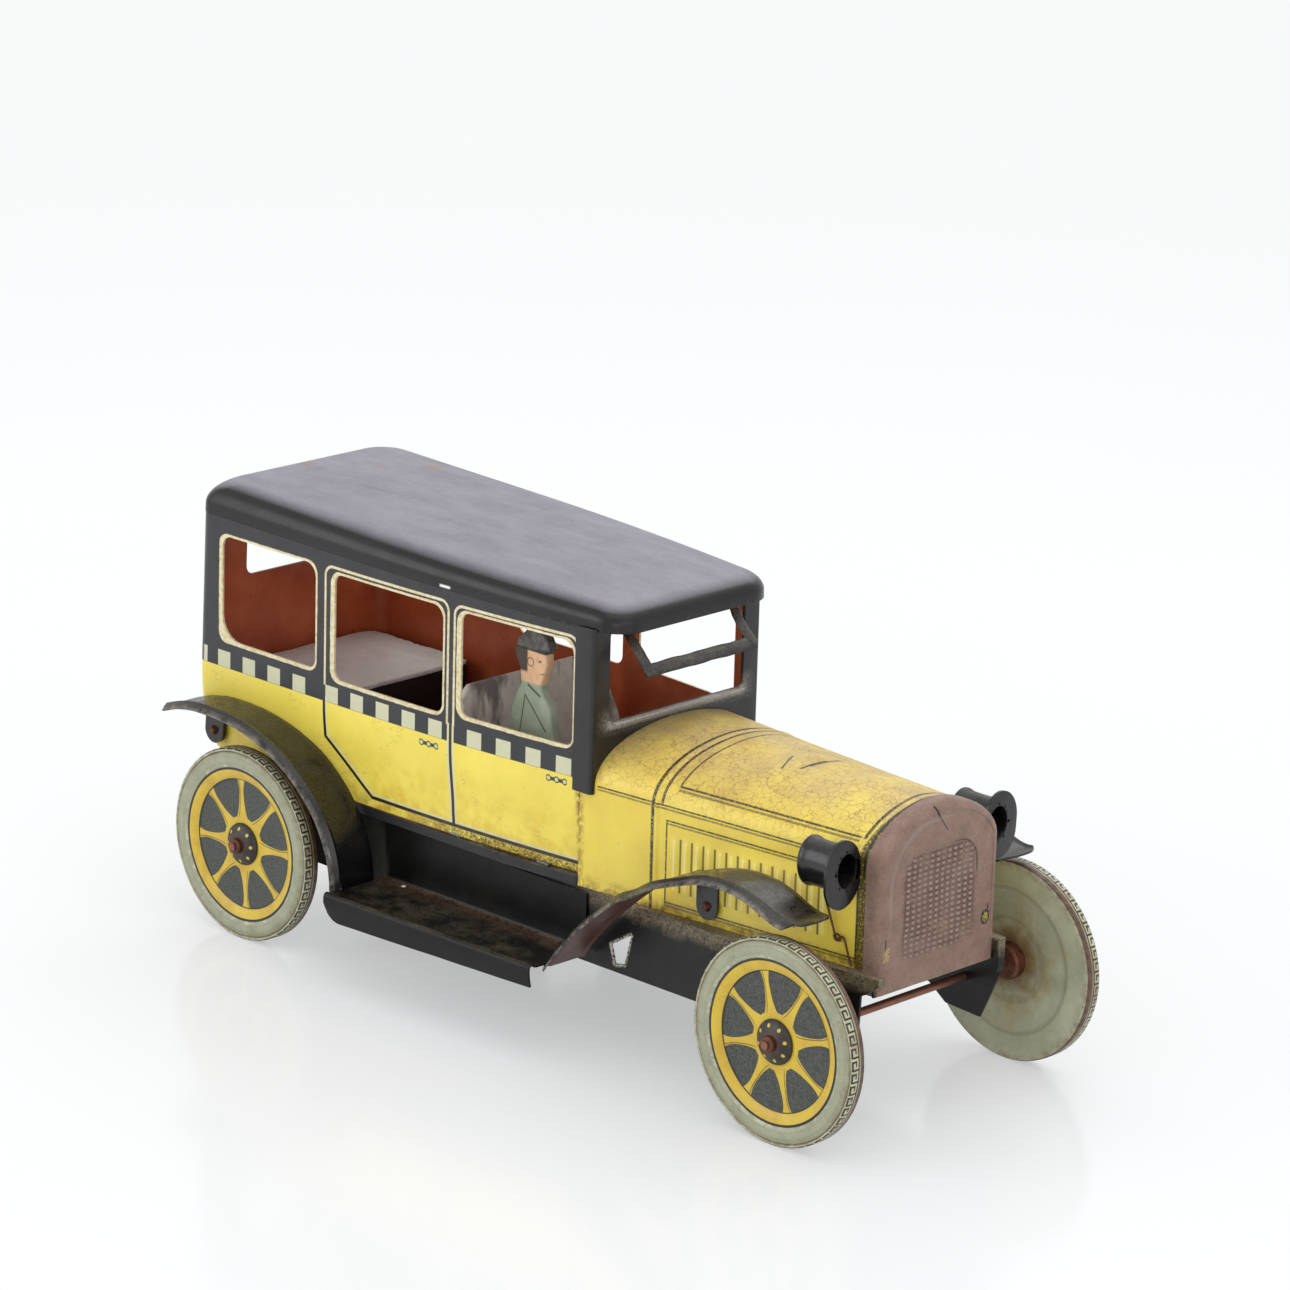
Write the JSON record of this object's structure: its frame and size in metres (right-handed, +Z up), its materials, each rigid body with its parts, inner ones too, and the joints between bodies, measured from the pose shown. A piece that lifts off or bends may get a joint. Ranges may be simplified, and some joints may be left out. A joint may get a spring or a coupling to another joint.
{
  "type": "friction tin car",
  "caption": "Printed tin taxi sedan on a flat chassis, with turning wheels and a geared flywheel friction drive, open windows and a seated driver.",
  "frame": {"origin": "middle of the whole car's outline, on the ground under the wheels", "axes": "+X to the front of the car, +Y to its left side, +Z up"},
  "size_m": [0.24, 0.0972, 0.1142],
  "materials": {
    "body_print": "printed tin: black-grey panels with a pale yellow belt, satin, scratched",
    "roof_paint": "black lacquer, dusty and scuffed",
    "hood_print": "pale yellow printed tin, crackled, satin",
    "radiator_print": "worn red-brown printed tin, satin",
    "black_paint": "black lacquer, worn and dusty",
    "chassis_paint": "black lacquer, dull",
    "wheel_print": "printed tin, olive-grey tyre with yellow spokes, satin",
    "tread_print": "printed tin with a key pattern, stained",
    "hub_print": "black printed tin with yellow dots",
    "axle_steel": "rust-brown drawn steel",
    "rivet_steel": "dull tinned steel",
    "wire": "rusted soft wire",
    "gear_brass": "dull stamped brass",
    "drive_steel": "oiled stamped steel",
    "flywheel_iron": "turned grey iron",
    "bench_felt": "matte flocked card",
    "seat_felt": "matte flocked card, darkened",
    "driver_print": "printed tin, satin"
  },
  "bodies": {
    "car": {"body_side_right": "body_print", "body_side_left": "body_print", "body_rear": "body_print", "roof": "roof_paint", "windshield": "black_paint", "hood": "hood_print", "radiator": "radiator_print", "headlamp_right": "black_paint", "headlamp_left": "black_paint", "tie_wire": "wire", "fender_front_right": "black_paint", "fender_front_left": "black_paint", "fender_rear_right": "black_paint", "fender_rear_left": "black_paint", "fender_rivets": "rivet_steel", "running_board_right": "black_paint", "running_board_left": "black_paint", "chassis": "chassis_paint", "floor_pan": "chassis_paint", "mechanism_plate_right": "drive_steel", "mechanism_plate_left": "drive_steel", "plate_pillars": "drive_steel", "pillar_nuts": "drive_steel", "mechanism_cover": "chassis_paint", "rear_bench": "bench_felt", "front_seat_base": "seat_felt", "front_seat_back": "seat_felt", "driver": "driver_print", "body_tabs": "rivet_steel"},
    "front_wheels": {"front_axle": "axle_steel", "front_bosses": "axle_steel", "front_nuts": "axle_steel", "wheel_face_front_right": "wheel_print", "wheel_face_front_left": "wheel_print", "wheel_back_front_right": "tread_print", "wheel_back_front_left": "tread_print", "hub_cap_front_right": "hub_print", "hub_cap_front_left": "hub_print"},
    "rear_wheels": {"rear_axle": "axle_steel", "rear_bosses": "axle_steel", "rear_nuts": "axle_steel", "drive_gear": "gear_brass", "wheel_face_rear_right": "wheel_print", "wheel_face_rear_left": "wheel_print", "wheel_back_rear_right": "tread_print", "wheel_back_rear_left": "tread_print", "hub_cap_rear_right": "hub_print", "hub_cap_rear_left": "hub_print"},
    "countershaft_body": {"countershaft": "drive_steel", "counter_pinion": "drive_steel", "counter_gear": "gear_brass"},
    "flywheel_body": {"flywheel_shaft": "drive_steel", "flywheel_pinion": "drive_steel", "flywheel": "flywheel_iron"}
  },
  "joints": [
    {"name": "front_axle_spin", "type": "hinge", "parent": "car", "child": "front_wheels", "pos_m": [0.095, 0, 0.025], "axis": [0, 1, 0], "continuous": true},
    {"name": "rear_axle_spin", "type": "hinge", "parent": "car", "child": "rear_wheels", "pos_m": [-0.09, 0, 0.025], "axis": [0, 1, 0], "continuous": true},
    {"name": "countershaft_spin", "type": "hinge", "parent": "car", "child": "countershaft_body", "pos_m": [-0.09507, 0, 0.03588], "axis": [0, 1, 0], "continuous": true},
    {"name": "flywheel_spin", "type": "hinge", "parent": "car", "child": "flywheel_body", "pos_m": [-0.10014, 0, 0.04675], "axis": [0, 1, 0], "continuous": true}
  ],
  "couplings": [
    {"joint": "rear_axle_spin", "follows": "flywheel_spin", "ratio": 0.11111},
    {"joint": "countershaft_spin", "follows": "flywheel_spin", "ratio": -0.33333}
  ]
}
